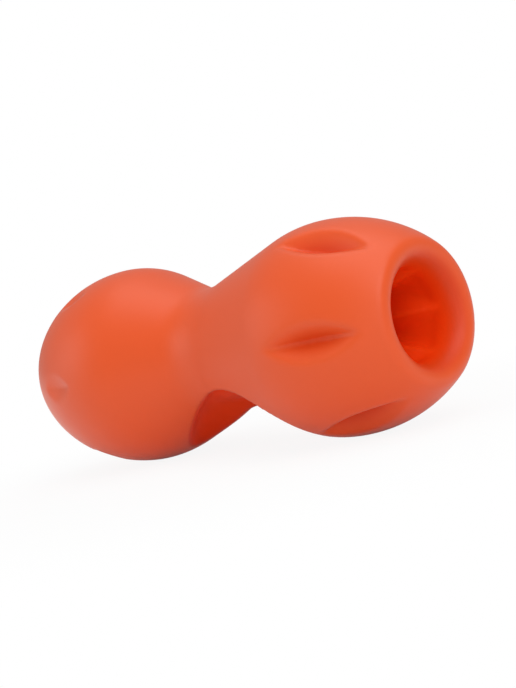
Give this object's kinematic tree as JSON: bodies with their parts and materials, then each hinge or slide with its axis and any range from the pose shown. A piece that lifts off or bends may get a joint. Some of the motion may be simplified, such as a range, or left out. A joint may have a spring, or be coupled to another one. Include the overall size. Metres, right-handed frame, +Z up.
{
  "type": "rubber chew toy",
  "caption": "Hourglass rubber chew toy with a ribbed treat pocket in one end, a scooped grip under its waist, leaf-shaped dents round both bulbs and a neck that bends and springs back.",
  "frame": {"origin": "on the floor, under the middle of the toy as it lies on its two bulbs", "axes": "+X along the toy's axis and out of its mouth, +Z up"},
  "size_m": [0.1262, 0.049, 0.049],
  "materials": {
    "rubber": "matte soft rubber, bright orange-red"
  },
  "bodies": {
    "front": {"mouth_rim": "rubber", "front_bulb": "rubber", "waist_neck": "rubber"},
    "rear": {"rear_bulb": "rubber"}
  },
  "joints": [
    {"name": "waist_bend", "type": "hinge", "parent": "front", "child": "rear", "pos_m": [0, 0, 0.0245], "axis": [0, 0, 1], "range_deg": [-12, 12], "stiffness_Nm_per_rad": 9, "deforming": ["waist_neck"]}
  ]
}
